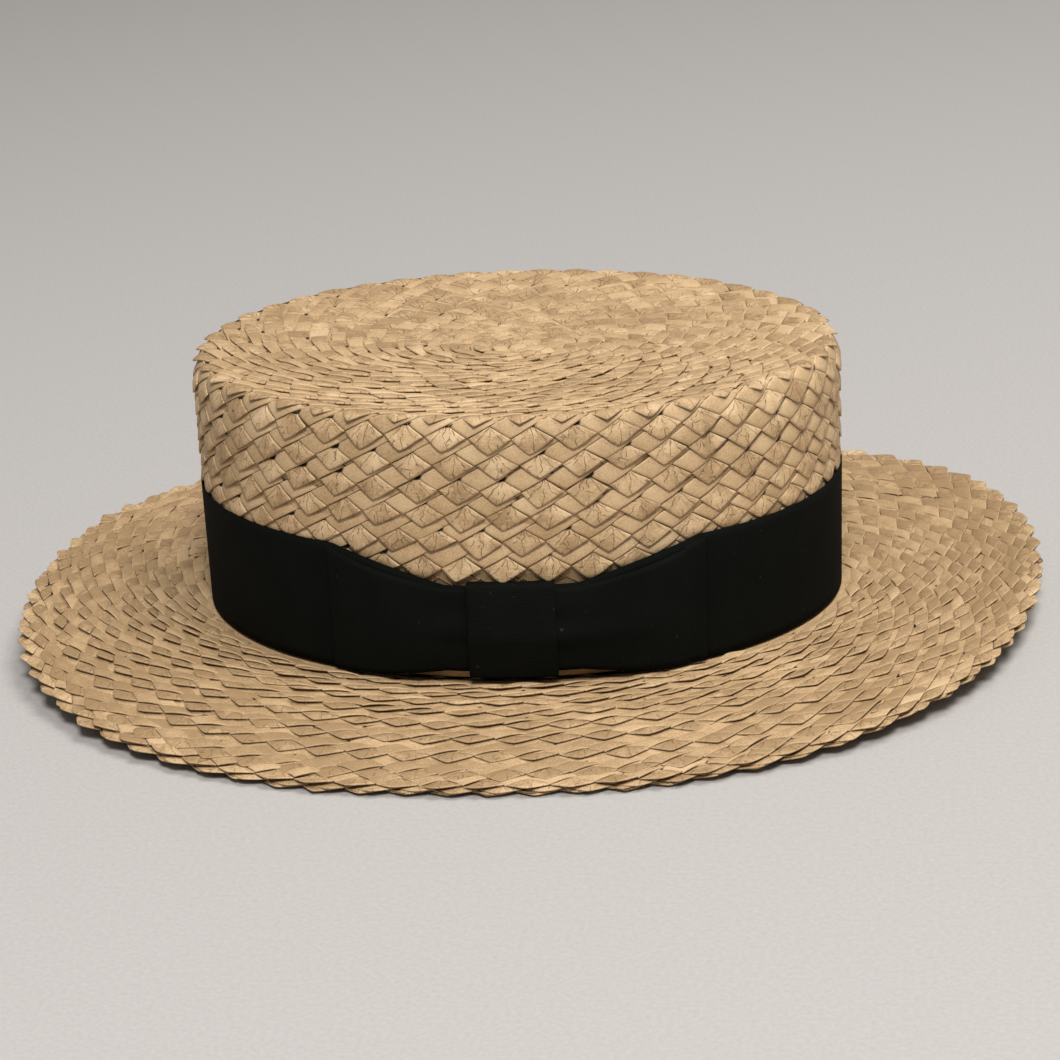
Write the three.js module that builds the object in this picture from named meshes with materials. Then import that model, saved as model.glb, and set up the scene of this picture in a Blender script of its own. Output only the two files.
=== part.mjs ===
// A straw boater lying on its brim, in millimetres, with +Z up and the floor at z = 0.
// X runs along the hat's oval and Y across it. The ribbon's bow is on the -Y side.
// The straw is flat braid, coiled in an oval and sewn so that each row overlaps the next like
// shingles. An oval is named by its half length, so one number says how far out it lies.
import * as THREE from "three";

// Crown
const crownLength = 206;
const crownWidth = 173;
const crownHeight = 82.5;
const crownFlare = 0.7;
const crownWall = 1.5;
const crownRow = 8;
const firstRowDrop = 1.5;
const rowStep = 0.9;
const shoulderRadius = 4.5;
const topDish = 4;
// How strongly the top's hollow gathers near its rim.
const dishPower = 4;
const coilEyeReach = 45;
// The crown stands a little off square: its offset along the hat, and its lean in degrees.
const crownShift = -1.8;
const leanAlong = 1.1;
const leanAcross = 1.4;

// Brim
const brimWidth = 62.6;
const brimWall = 1.4;
const brimRow = 7;
const brimRowStep = 0.7;
const brimFoot = 5;
const brimBulge = 2.3;
const turnDownPower = 3;
const brimEndLift = 8.8;
const brimSquareness = 2.25;
// The sides of the brim lie on the floor, as far as this cosine of the angle from the long axis.
const restingCosine = 0.3;
// The last stretch of the brim is level.
const levelEdge = 4;

// Rows of braid above and below the brim's edge
const edgeRowWall = 1.2;
const edgeRowWidth = 9;
const toothPitch = 12.6;
const toothDepth = 3.2;

// Ribbon
const bandHeight = 40.5;
const ribbonThickness = 1;
const bowOffset = 8.7;
const knotWidth = 26;
const knotFoot = 2.2;
const knotHeight = 29.5;
const leftLoopReach = 56.5;
const rightLoopReach = 58.5;
const loopGap = 0.8;
const loopPuff = 2.2;
const bowRidge = 0.9;

// Room between pieces that touch on the real hat
const seat = 0.3;

// Facets
const crownSteps = 44;
const bandSteps = 72;
const brimSteps = 50;
const shoulderSteps = 3;
const ceilingShares = [1, 0.85, 0.65, 0];
const foldSteps = 4;
const loopStep = 7;
const loopHeightSteps = 4;
const knotWidthSteps = 4;

const braidStraw = { color: 0xc2a273, roughness: 0.75, metalness: 0 };
const edgeStraw = { color: 0xcbab7b, roughness: 0.75, metalness: 0 };
const ribbonCloth = { color: 0x1b1b19, roughness: 0.9, metalness: 0 };

const crownReach = crownLength / 2;
const brimReach = crownReach + brimWidth;
const slimness = (crownLength - crownWidth) / 2;
const ribbonDepth = ribbonThickness + seat;
const crownDepth = ribbonDepth + crownWall;
const innerTop = crownHeight - crownDepth;
const sideTop = innerTop - shoulderRadius;
const crownPerimeter = Math.PI * (2 * crownReach - slimness);
const brimPerimeter = Math.PI * (2 * brimReach - slimness);
const toothCount = 2 * Math.round(brimPerimeter / toothPitch / 2);

// How far out on the brim an oval lies: 0 at the crown's wall and 1 at the brim's edge.
function brimShare(reach) {
  return THREE.MathUtils.clamp((reach - crownReach) / brimWidth, 0, 1);
}

// The point at a turn, from 0 at the +X end, of the oval that reaches this far along X. The angle
// is eased so that equal turns have nearly equal lengths. Outer ovals of the brim grow squarer.
function ovalPoint(reach, turn) {
  const halfWidth = reach - slimness * Math.min(1, reach / coilEyeReach);
  const easing = (reach - halfWidth) / (2 * Math.max(reach + halfWidth, 1));
  const angle = turn - easing * Math.sin(2 * turn);
  const power = 2 + (brimSquareness - 2) * brimShare(reach);
  const along = Math.abs(Math.cos(angle)) * halfWidth;
  const across = Math.abs(Math.sin(angle)) * reach;
  const size = (along ** power + across ** power) ** (1 / power);
  const radius = reach * halfWidth / Math.max(size, 1e-9);
  const shift = crownShift * (1 - brimShare(reach));
  return { x: radius * Math.cos(angle) + shift, y: radius * Math.sin(angle), angle };
}

// Moves every vertex of a geometry by a function of its place.
function reshape(geometry, move) {
  const position = geometry.getAttribute("position");
  for (let i = 0; i < position.count; i += 1) {
    position.setXYZ(i, ...move(position.getX(i), position.getY(i), position.getZ(i)));
  }
  geometry.computeVertexNormals();
  return geometry;
}

// Sweeps a closed profile of [reach, height] pairs round the oval. settle(reach, height, turn)
// gives the reach and the height that a vertex has at that turn.
function ovalSweep(profile, steps, settle) {
  const geometry = new THREE.LatheGeometry(profile.map((pair) => new THREE.Vector2(...pair)), steps);
  geometry.rotateX(Math.PI / 2);
  return reshape(geometry, (x, y, z) => {
    const turn = Math.atan2(y, x);
    const [reach, height] = settle(Math.hypot(x, y), z, turn);
    const place = ovalPoint(reach, turn);
    return [place.x, place.y, height];
  });
}

function piece(name, geometry, finish) {
  const mesh = new THREE.Mesh(geometry, new THREE.MeshStandardMaterial(finish));
  mesh.name = name;
  return mesh;
}

// The reach of the crown's outer face at a height over its foot.
function crownFace(height) {
  return crownReach + crownFlare * height / crownHeight;
}

// How far the top hangs under its rim, at a share of the way from the coil's eye to the rim.
function dish(share) {
  return topDish * (1 - share ** dishPower);
}

// The rows of the crown's top, from the coil's eye outwards. Each ends in a step down to the next.
function topRows() {
  const flatReach = crownFace(crownHeight) - rowStep - shoulderRadius;
  const rows = Math.round(flatReach / crownRow);
  const points = [[0, crownHeight - topDish]];
  for (let row = 1; row < rows; row += 1) {
    const height = crownHeight - dish(row / rows);
    points.push([flatReach * row / rows, height], [flatReach * row / rows, height - rowStep / 2]);
  }
  return points;
}

// The rounded shoulder between the crown's top and its wall.
function shoulder() {
  const points = [];
  for (let step = 0; step <= shoulderSteps; step += 1) {
    const bend = Math.PI / 2 * step / shoulderSteps;
    points.push([
      crownFace(crownHeight) - rowStep - shoulderRadius * (1 - Math.sin(bend)),
      crownHeight - shoulderRadius * (1 - Math.cos(bend)),
    ]);
  }
  return points;
}

// The rows of the crown's wall, from the shoulder down to the band. Each one's lower edge stands
// proud of the next row.
function wallRows() {
  const points = [];
  const rows = Math.floor((crownHeight - firstRowDrop - bandHeight) / crownRow);
  for (let row = 1; row <= rows; row += 1) {
    const edge = crownHeight - firstRowDrop - row * crownRow;
    if (edge > bandHeight + rowStep && edge < crownHeight - shoulderRadius) {
      points.push([crownFace(edge), edge], [crownFace(edge) - rowStep, edge]);
    }
  }
  return points;
}

// Sweeps a profile of the crown, which runs from its outer face to its inner one.
function crownSweep(profile) {
  return ovalSweep(profile.reverse(), crownSteps, (reach, height) => [reach, height]);
}

// The crown's top: a dished disc of stepped rows with a rounded shoulder, and a smooth inner face.
function crownTopGeometry() {
  const innerRim = crownFace(innerTop) - crownDepth - shoulderRadius;
  return crownSweep([
    ...topRows(),
    ...shoulder(),
    [crownFace(sideTop) - rowStep / 2, sideTop],
    [crownFace(sideTop) - crownDepth, sideTop],
    ...ceilingShares.map((share) => [innerRim * share, innerTop - dish(share)]),
  ]);
}

// The crown's side: a wall with stepped rows outside, pressed flat under the band.
function crownSideGeometry() {
  const top = sideTop - seat;
  return crownSweep([
    [crownFace(top) - rowStep / 2, top],
    ...wallRows(),
    [crownFace(bandHeight) - ribbonDepth, bandHeight + seat],
    [crownFace(0) - ribbonDepth, 0],
    [crownFace(0) - crownDepth, 0],
    [crownFace(top) - crownDepth, top],
    [crownFace(top) - rowStep / 2, top],
  ]);
}

// The crown's lean, and the height of the brim's underside where the crown stands on it
const crownLean = new THREE.Euler(
  THREE.MathUtils.degToRad(-leanAcross),
  THREE.MathUtils.degToRad(leanAlong),
  0,
);
const crownUp = new THREE.Vector3(0, 0, 1).applyEuler(crownLean);

function footHeight(place) {
  return brimFoot - (crownUp.x * place.x + crownUp.y * place.y) / crownUp.z;
}

// How far the brim's edge lifts off the floor: nowhere at the sides, and most at the two ends.
function edgeLift(angle) {
  const share = Math.max(0, Math.abs(Math.cos(angle)) - restingCosine) / (1 - restingCosine);
  return brimEndLift * share ** 2;
}

// The height of the brim's underside: it leaves the crown's foot, rises gently, turns down and ends
// in a level edge, which lies on the row of braid sewn under it.
function undersideHeight(reach, turn) {
  const place = ovalPoint(reach, turn);
  const share = THREE.MathUtils.clamp((reach - crownReach) / (brimWidth - levelEdge), 0, 1);
  const foot = footHeight(place);
  const edge = edgeRowWall + seat + edgeLift(place.angle);
  return foot + (edge - foot) * share ** turnDownPower + brimBulge * Math.sin(Math.PI * share);
}

// The brim: its rows step down outwards, as each overlaps the next. Its edge stays inside the
// toothed rows that lie on it and under it.
function brimGeometry() {
  const innerEdge = crownReach - crownDepth;
  const outerEdge = brimReach - toothDepth - seat;
  const levelStart = brimReach - levelEdge;
  const rowsEnd = brimReach - edgeRowWidth - seat;
  const rows = Math.max(2, 2 * Math.round((rowsEnd - crownReach) / brimRow / 2));
  const rowWidth = (rowsEnd - crownReach) / rows;
  const top = [[innerEdge, brimWall], [crownReach, brimWall]];
  const under = [];
  for (let row = 1; row <= rows; row += 1) {
    const reach = crownReach + row * rowWidth;
    top.push([reach, brimWall + brimRowStep], [reach, brimWall]);
    if (row % 2 === 0) {
      under.unshift([reach, 0]);
    }
  }
  const profile = [
    ...top,
    [levelStart, brimWall],
    [outerEdge, brimWall],
    [outerEdge, 0],
    [levelStart, 0],
    ...under,
    [crownReach, 0],
    [innerEdge, 0],
    [innerEdge, brimWall],
  ];
  return ovalSweep(profile.reverse(), brimSteps, (reach, height, turn) => [
    reach,
    undersideHeight(reach, turn) + height,
  ]);
}

// A row of braid that follows the brim's edge, at a level over the brim's underside. The folds of
// its plait cut its outer edge into teeth, and phase sets them between those of the other row.
function edgeRowGeometry(level, phase) {
  const inner = brimReach - edgeRowWidth;
  const levelStart = brimReach - levelEdge;
  const profile = [
    [inner, level],
    [levelStart, level],
    [brimReach, level],
    [brimReach, level + edgeRowWall],
    [levelStart, level + edgeRowWall],
    [inner, level + edgeRowWall],
    [inner, level],
  ];
  return ovalSweep(profile, toothCount * 2, (reach, height, turn) => {
    const notch = (1 - Math.cos(toothCount * (turn + Math.PI / 2) + phase)) / 2;
    const cut = reach > levelStart + seat ? toothDepth * notch : 0;
    return [reach - cut, undersideHeight(reach, turn) + height];
  });
}

// How far the bow gathers the ribbon at a distance round the crown from the knot's middle: fully
// under the knot and just beside it, and not at all at the loops' ends.
function gather(distance) {
  const reach = distance < 0 ? leftLoopReach : rightLoopReach;
  const start = knotWidth / 2 + loopStep;
  return 1 - THREE.MathUtils.clamp((Math.abs(distance) - start) / (reach - start), 0, 1);
}

// The height of a ribbon's thread that lies at a height over the crown's foot away from the bow.
function gatheredHeight(height, distance) {
  const foot = knotFoot + ribbonDepth;
  const room = knotHeight - 2 * ribbonDepth;
  return THREE.MathUtils.lerp(height, foot + room * height / bandHeight, gather(distance));
}

const bowTurn = -Math.PI / 2 + 2 * Math.PI * bowOffset / crownPerimeter;

// The bow stands this high over the crown's foot, to clear the brim's first row and its rise.
const bowDepth = seat + 2 * ribbonThickness + loopGap + loopPuff;
const bowFoot = brimRowStep + brimBulge * Math.sin(Math.PI * bowDepth / (brimWidth - levelEdge));

// A place on the ribbon: a distance round the crown from the knot's middle, a depth over the face
// of the band, and a height over the crown's foot.
function onRibbon(distance, depth, height) {
  const turn = bowTurn + 2 * Math.PI * distance / crownPerimeter;
  const place = ovalPoint(crownFace(height) + depth, turn);
  return [place.x, place.y, height];
}

// The band: a strip round the foot of the crown's wall, gathered behind the knot.
function bandGeometry() {
  const profile = [
    [crownFace(0) - ribbonThickness, 0],
    [crownFace(0), 0],
    [crownFace(bandHeight), bandHeight],
    [crownFace(bandHeight) - ribbonThickness, bandHeight],
    [crownFace(0) - ribbonThickness, 0],
  ];
  return ovalSweep(profile, bandSteps, (reach, height, turn) => {
    const wrapped = THREE.MathUtils.euclideanModulo(turn - bowTurn + Math.PI, 2 * Math.PI) - Math.PI;
    return [reach, gatheredHeight(height, wrapped * crownPerimeter / (2 * Math.PI))];
  });
}

// A strip of ribbon, from a unit box cut into steps. place(along, over, across) gives the place of
// a vertex from its share of the strip's length, its level over the middle of the ribbon's
// thickness, and its share of the ribbon's width.
function ribbonStrip(alongSteps, acrossSteps, place) {
  const geometry = new THREE.BoxGeometry(1, 1, 1, alongSteps, 1, acrossSteps);
  return reshape(geometry, (x, y, z) => place(x + 0.5, y * ribbonThickness, z + 0.5));
}

// The soft ridge along the middle of the bow, by the share of the ribbon's width.
function ridge(across) {
  return bowRidge * Math.sin(Math.PI * across);
}

// A loop of the bow: ribbon that lies on the band, folds at its end and comes back to the knot,
// puffed out a little between. side is 1 towards +X and -1 towards -X.
function loopGeometry(side, loopReach) {
  const foldRadius = (ribbonThickness + loopGap) / 2;
  const middle = seat + ribbonThickness + loopGap / 2;
  const foldStart = loopReach - foldRadius - ribbonThickness / 2;
  const puffStart = knotWidth / 2 + loopStep;
  const runSteps = Math.ceil(foldStart / loopStep);
  const steps = 2 * runSteps + foldSteps;
  return ribbonStrip(steps, loopHeightSteps, (along, over, across) => {
    const station = along * steps;
    const bend = Math.PI * THREE.MathUtils.clamp((station - runSteps) / foldSteps, 0, 1);
    const run = Math.min(station, steps - station, runSteps) / runSteps;
    const start = THREE.MathUtils.lerp(seat, foldStart, run);
    const outer = (1 - Math.cos(bend)) / 2;
    const share = THREE.MathUtils.clamp((start - puffStart) / (foldStart - puffStart), 0, 1);
    const puff = loopPuff * Math.sin(Math.PI * share) + ridge(across) * (1 - run);
    const distance = side * (start + (foldRadius + side * over) * Math.sin(bend));
    const depth = middle - (foldRadius + side * over) * Math.cos(bend) + outer * puff;
    const height = THREE.MathUtils.lerp(bowFoot, bandHeight, across);
    return onRibbon(distance, depth, gatheredHeight(height, distance));
  });
}

// The knot: a short strip wrapped over both loops, from behind the band's top edge to behind its
// bottom edge. Its stations are the corners of that wrap and the steps of its front.
function knotGeometry() {
  const half = ribbonThickness / 2;
  const back = half - ribbonThickness;
  const front = 2 * seat + 2 * ribbonThickness + loopGap + half;
  const foot = knotFoot + half;
  const top = knotFoot + knotHeight - half;
  const steps = loopHeightSteps + 2;
  return ribbonStrip(steps, knotWidthSteps, (along, over, across) => {
    const station = Math.round(along * steps);
    const share = THREE.MathUtils.clamp((station - 1) / loopHeightSteps, 0, 1);
    const onFront = station > 0 && station < steps;
    const edge = share === 0 ? -1 : Number(share === 1);
    const height = THREE.MathUtils.lerp(foot, top, share) + edge * over;
    const depth = onFront ? front + ridge(share) + over : back;
    return onRibbon((across - 0.5) * knotWidth, depth, height);
  });
}

const onCrown = new THREE.Group();
onCrown.position.z = brimFoot + brimWall + seat;
onCrown.rotation.copy(crownLean);
onCrown.add(
  piece("crown_top", crownTopGeometry(), braidStraw),
  piece("crown_side", crownSideGeometry(), braidStraw),
  piece("band", bandGeometry(), ribbonCloth),
  piece("bow_loop_left", loopGeometry(-1, leftLoopReach), ribbonCloth),
  piece("bow_loop_right", loopGeometry(1, rightLoopReach), ribbonCloth),
  piece("bow_knot", knotGeometry(), ribbonCloth),
);

const boater = new THREE.Group();
boater.add(
  onCrown,
  piece("brim", brimGeometry(), braidStraw),
  piece("brim_edge_braid", edgeRowGeometry(brimWall + seat, Math.PI), edgeStraw),
  piece("brim_under_braid", edgeRowGeometry(-seat - edgeRowWall, 0), edgeStraw),
);

export default boater;
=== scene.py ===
"""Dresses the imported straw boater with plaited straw, a ribbed ribbon and its bow.

The hat's shape is worked out in millimetres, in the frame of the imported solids, with +Z up and the
floor at 0, and turned into metres where a mesh is made. The straw is a flat plait, coiled in an
oval and sewn row over row. Each row is laid from three kinds of cell, one set to every tooth.
"""

import logging
from collections.abc import Callable, Iterable
from dataclasses import dataclass, field
from enum import Enum

import bmesh
import bpy
import numpy as np
from mathutils import Matrix, Vector


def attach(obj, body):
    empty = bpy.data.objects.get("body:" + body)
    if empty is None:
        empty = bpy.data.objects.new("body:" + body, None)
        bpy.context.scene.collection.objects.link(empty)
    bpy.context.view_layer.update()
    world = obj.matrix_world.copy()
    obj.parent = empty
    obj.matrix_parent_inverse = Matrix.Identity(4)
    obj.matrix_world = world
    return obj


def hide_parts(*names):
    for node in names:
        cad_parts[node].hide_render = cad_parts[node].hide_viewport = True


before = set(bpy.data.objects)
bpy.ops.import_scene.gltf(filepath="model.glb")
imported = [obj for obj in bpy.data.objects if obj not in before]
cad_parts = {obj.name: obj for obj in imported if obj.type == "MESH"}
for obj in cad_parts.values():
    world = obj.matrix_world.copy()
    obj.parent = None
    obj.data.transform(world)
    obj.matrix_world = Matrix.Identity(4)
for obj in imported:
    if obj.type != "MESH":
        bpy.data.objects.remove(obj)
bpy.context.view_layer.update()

MM = 0.001
FULL_TURN = 2.0 * np.pi
SEED = 1912
BODY = "root"
LOG = logging.getLogger("boater")

Array = np.ndarray
Colour = tuple[float, float, float]
Socket = bpy.types.NodeSocket


def smooth_step(value: Array) -> Array:
    """Returns the cubic 3t^2 - 2t^3 of a value, held between 0 and 1."""
    held = np.clip(value, 0.0, 1.0)
    return held * held * (3.0 - 2.0 * held)


def way_along(points: Array) -> Array:
    """Returns the distance along a line of points, from its first point to each of them."""
    steps = np.linalg.norm(np.diff(points, axis=0), axis=1)
    return np.concatenate([[0.0], np.cumsum(steps)])


def unit_normals(points: Array) -> Array:
    """Returns the unit normals of a grid of points, by the cross product of its gradients."""
    normal = np.cross(np.gradient(points, axis=0), np.gradient(points, axis=1))
    return normal / np.maximum(np.linalg.norm(normal, axis=-1, keepdims=True), 1e-9)


@dataclass(frozen=True)
class HatShape:
    """The hat's plan and heights in millimetres, the same as the solids have."""

    crown_reach: float = 103.0
    slimness: float = 16.5
    crown_height: float = 82.5
    crown_flare: float = 0.7
    shoulder: float = 4.5
    top_dish: float = 4.0
    dish_power: float = 4.0
    coil_eye: float = 45.0
    crown_shift: float = -1.8
    lean_along: float = 1.1
    lean_across: float = 1.4
    brim_width: float = 62.6
    brim_wall: float = 1.4
    brim_foot: float = 5.0
    brim_bulge: float = 2.3
    turn_down: float = 3.0
    end_lift: float = 8.8
    squareness: float = 2.25
    resting_cosine: float = 0.3
    level_edge: float = 4.0
    edge_wall: float = 1.2
    seat: float = 0.3

    @property
    def brim_reach(self) -> float:
        """The reach of the brim's edge."""
        return self.crown_reach + self.brim_width

    @property
    def crown_girth(self) -> float:
        """The length round the crown's foot."""
        return self.girth(self.crown_reach)

    def girth(self, reach: float) -> float:
        """The length of an oval, about pi times the sum of its half axes."""
        return np.pi * (2.0 * reach - self.slimness * min(1.0, reach / self.coil_eye))

    def point(self, reach: Array, turn: Array) -> tuple[Array, Array, Array]:
        """Places points on ovals.

        An oval is a superellipse, |cos/a|^p + |sin/b|^p = 1, whose power p grows from 2 at the
        crown to the squareness at the brim's edge, and whose angle is eased so that equal turns
        have nearly equal lengths.

        Args:
            reach: half length of the oval along X.
            turn: turn from the +X end, in radians.

        Returns:
            x, y and the eased angle.
        """
        reach = np.maximum(reach, 0.02)
        half_width = reach - self.slimness * np.minimum(1.0, reach / self.coil_eye)
        easing = (reach - half_width) / (2.0 * np.maximum(reach + half_width, 1.0))
        angle = turn - easing * np.sin(2.0 * turn)
        share = np.clip((reach - self.crown_reach) / self.brim_width, 0.0, 1.0)
        power = 2.0 + (self.squareness - 2.0) * share
        along = np.abs(np.cos(angle)) * half_width
        across = np.abs(np.sin(angle)) * reach
        size = (along**power + across**power) ** (1.0 / power)
        radius = reach * half_width / np.maximum(size, 1e-9)
        shift = self.crown_shift * (1.0 - share)
        return radius * np.cos(angle) + shift, radius * np.sin(angle), angle

    def lean(self) -> Matrix:
        """The crown's lean, turned about X and then about Y."""
        about_x = Matrix.Rotation(np.radians(-self.lean_across), 3, "X")
        about_y = Matrix.Rotation(np.radians(self.lean_along), 3, "Y")
        return about_x @ about_y

    def crown_face(self, height: Array) -> Array:
        """The reach of the crown's outer face, which flares evenly with height."""
        return self.crown_reach + self.crown_flare * height / self.crown_height

    def dish(self, reach: Array) -> Array:
        """How far the top hangs under its rim: depth times (1 - share^power)."""
        share = np.clip(reach / (self.crown_reach - self.shoulder), 0.0, 1.0)
        return self.top_dish * (1.0 - share**self.dish_power)

    def on_crown(self, reach: Array, height: Array, turn: Array) -> Array:
        """Places points of the crown, given over its foot, in the leaning frame of the crown."""
        x, y, _ = self.point(reach, turn)
        local = np.stack([x, y, height + np.zeros_like(x)], axis=-1)
        foot = np.array([0.0, 0.0, self.brim_foot + self.brim_wall + self.seat])
        return local @ np.array(self.lean()).T + foot

    def underside(self, reach: Array, turn: Array) -> Array:
        """The height of the brim's underside.

        It leaves the leaning crown's foot, rises by a sine bulge and turns down with the cube of
        the share of the way out, to an edge that lifts off the floor at the hat's two ends.

        Args:
            reach: half length of the oval along X.
            turn: turn from the +X end, in radians.

        Returns:
            The height over the floor.
        """
        x, y, angle = self.point(reach, turn)
        share = (reach - self.crown_reach) / (self.brim_width - self.level_edge)
        share = np.clip(share, 0.0, 1.0)
        up = np.array(self.lean())[:, 2]
        foot = self.brim_foot - (up[0] * x + up[1] * y) / up[2]
        lifted = np.maximum(0.0, np.abs(np.cos(angle)) - self.resting_cosine)
        lift = self.end_lift * (lifted / (1.0 - self.resting_cosine)) ** 2
        edge = self.edge_wall + self.seat + lift
        bulge = self.brim_bulge * np.sin(np.pi * share)
        return foot + (edge - foot) * share**self.turn_down + bulge

    def on_brim(self, reach: Array, height: Array, turn: Array) -> Array:
        """Places points of the brim, given over its underside."""
        x, y, _ = self.point(reach, turn)
        return np.stack([x, y, self.underside(reach, turn) + height], axis=-1)


HAT = HatShape()
Settle = Callable[[Array, Array, Array], Array]


@dataclass
class MeshData:
    """Vertices in millimetres with quads, a fibre map and named numbers for each vertex."""

    points: Array
    quads: Array
    fibre: Array
    marks: dict[str, Array]

    @staticmethod
    def join(parts: list["MeshData"]) -> "MeshData":
        """Puts several meshes into one.

        Args:
            parts: meshes with the same named numbers.

        Returns:
            One mesh that holds them all.
        """
        starts = np.cumsum([0] + [len(part.points) for part in parts[:-1]])
        return MeshData(
            np.concatenate([part.points for part in parts]),
            np.concatenate([part.quads + start for part, start in zip(parts, starts)]),
            np.concatenate([part.fibre for part in parts]),
            {
                name: np.concatenate([part.marks[name] for part in parts])
                for name in parts[0].marks
            },
        )

    def build(self, name: str, material: bpy.types.Material, slot: str) -> bpy.types.Object:
        """Makes the piece, in metres, riding on the hat's one body.

        Args:
            name: the piece's name.
            material: its material.
            slot: not used.

        Returns:
            The new object.
        """
        mesh = bpy.data.meshes.new(name)
        count = len(self.quads)
        mesh.vertices.add(len(self.points))
        mesh.vertices.foreach_set("co", (self.points * MM).astype(np.float32).ravel())
        mesh.loops.add(4 * count)
        mesh.loops.foreach_set("vertex_index", self.quads.astype(np.int32).ravel())
        mesh.polygons.add(count)
        mesh.polygons.foreach_set("loop_start", np.arange(0, 4 * count, 4, dtype=np.int32))
        mesh.polygons.foreach_set("loop_total", np.full(count, 4, dtype=np.int32))
        mesh.update(calc_edges=True)
        mesh.polygons.foreach_set("use_smooth", np.ones(count, dtype=bool))
        layer = mesh.uv_layers.new(name="fibre")
        layer.data.foreach_set("uv", self.fibre[self.quads.ravel()].astype(np.float32).ravel())
        for mark, values in self.marks.items():
            attribute = mesh.attributes.new(mark, "FLOAT", "POINT")
            attribute.data.foreach_set("value", values.astype(np.float32))
        mesh.materials.append(material)
        mesh.validate()
        mesh.update()
        made = bpy.data.objects.new(name, mesh)
        bpy.context.scene.collection.objects.link(made)
        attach(made, BODY)
        LOG.info("%s: %d faces", name, count)
        return made


def grid_quads(rows: int, columns: int, wrap: bool = False) -> Array:
    """The quads between neighbouring points of a grid, row by row.

    Args:
        rows: number of points along the first axis.
        columns: number of points along the second axis.
        wrap: whether the last column joins the first.

    Returns:
        An array of four point numbers to each quad.
    """
    number = np.arange(rows * columns).reshape(rows, columns)
    if wrap:
        number = np.concatenate([number, number[:, :1]], axis=1)
    corners = [number[:-1, :-1], number[:-1, 1:], number[1:, 1:], number[1:, :-1]]
    return np.stack(corners, axis=-1).reshape(-1, 4)


class Facing(Enum):
    """Which way a bed of straw faces: its profile's left side or its right side."""

    LEFT = 1.0
    RIGHT = -1.0


@dataclass(frozen=True)
class Bed:
    """A surface that rows of plait lie on: a profile of reach and height, swept round the oval.

    The bend is half the length over which the profile's direction is taken.
    """

    profile: Array
    facing: Facing
    settle: Settle
    bend: float = 0.6

    @property
    def length(self) -> float:
        """The length of the whole profile."""
        return float(way_along(self.profile)[-1])

    def place(self, across: Array, turn: Array, rise: Array) -> tuple[Array, Array]:
        """Places points at a distance along the profile, a turn, and a rise off the surface.

        The rise goes along the profile's normal, which is its direction turned a quarter.

        Args:
            across: distance along the profile from its start.
            turn: turn round the oval, in radians.
            rise: height off the surface.

        Returns:
            The places, and the reach of each.
        """
        way = way_along(self.profile)
        reaches, heights = self.profile.T
        reach = np.interp(across, way, reaches)
        height = np.interp(across, way, heights)
        before, after = across - self.bend, across + self.bend
        run = np.interp(after, way, reaches) - np.interp(before, way, reaches)
        climb = np.interp(after, way, heights) - np.interp(before, way, heights)
        size = np.maximum(np.hypot(run, climb), 1e-6)
        past = np.maximum(across - way[-1], 0.0)
        reach = reach + past * run / size
        height = height + past * climb / size
        side = self.facing.value
        reach = reach - side * climb / size * rise
        height = height + side * run / size * rise
        return self.settle(reach, height, turn), reach


class PlaitCell(Enum):
    """The cells of the plait, by their corners: places in tooth pitches and in millimetres.

    A pinhole lies at (0, 0). The fold hangs under it as a tooth, the rising straw goes up to the
    right beside it, and the falling straw lies above the pinhole, mostly under the row above.
    """

    FOLD = ((0.0, 0.0), (0.48, 3.7), (-0.1, 8.5), (-0.52, 3.7))
    RISING = ((0.0, 0.0), (0.48, 3.7), (1.24, -1.7), (0.76, -5.4))
    FALLING = ((0.0, 0.0), (0.52, -3.7), (0.04, -7.4), (-0.48, -3.7))


TOOTH_TIP = 8.5
TOOTH_WAIST = 3.7
TOOTH_WIDTH = 13.0
FULL_ROW = 8.2
RISING_LENGTH = 11.4
STRAW_WIDTH = 7.2
FALLING_LENGTH = 7.6


@dataclass(frozen=True)
class Detail:
    """How finely a cell is cut: the shares of its sides at which it has points."""

    inner: tuple[float, ...]

    def sides(self) -> tuple[Array, Array]:
        """The shares along one side, with its rim and the foot of its edge doubled at each end.

        Returns:
            The shares, and for each the level of its ring: 0 foot, 1 rim, 2 face.
        """
        shares = np.array([0.0, 0.0, *self.inner, 1.0, 1.0])
        levels = np.array([0.0, 1.0, *([2.0] * len(self.inner)), 1.0, 0.0])
        return shares, levels


FINE = Detail((0.08, 0.3, 0.5, 0.7, 0.92))
COARSE = Detail((0.12, 0.88))


@dataclass(frozen=True)
class Row:
    """One row of plait on a bed: where its teeth end, and how it lies.

    Lengths are in millimetres. The tip is the distance along the bed at which the teeth end, the
    step is how far they stand off it there, and the lift raises the whole row. The depth squeezes
    the teeth, blunt cuts their tips, and loose is how unevenly the straws lie. The tone is how
    light the straw is, the spread is how far single straws differ, the contrast makes the folds
    darker and the other straws lighter, and creased is how strongly the folds are creased.
    """

    tip: float
    width: float
    teeth: int
    phase: float
    step: float = 0.9
    lift: float = 0.0
    tone: float = 0.5
    spread: float = 0.1
    depth: float = 1.0
    blunt: float = 0.45
    loose: float = 0.06
    creased: float = 1.0
    contrast: float = 0.0


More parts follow.
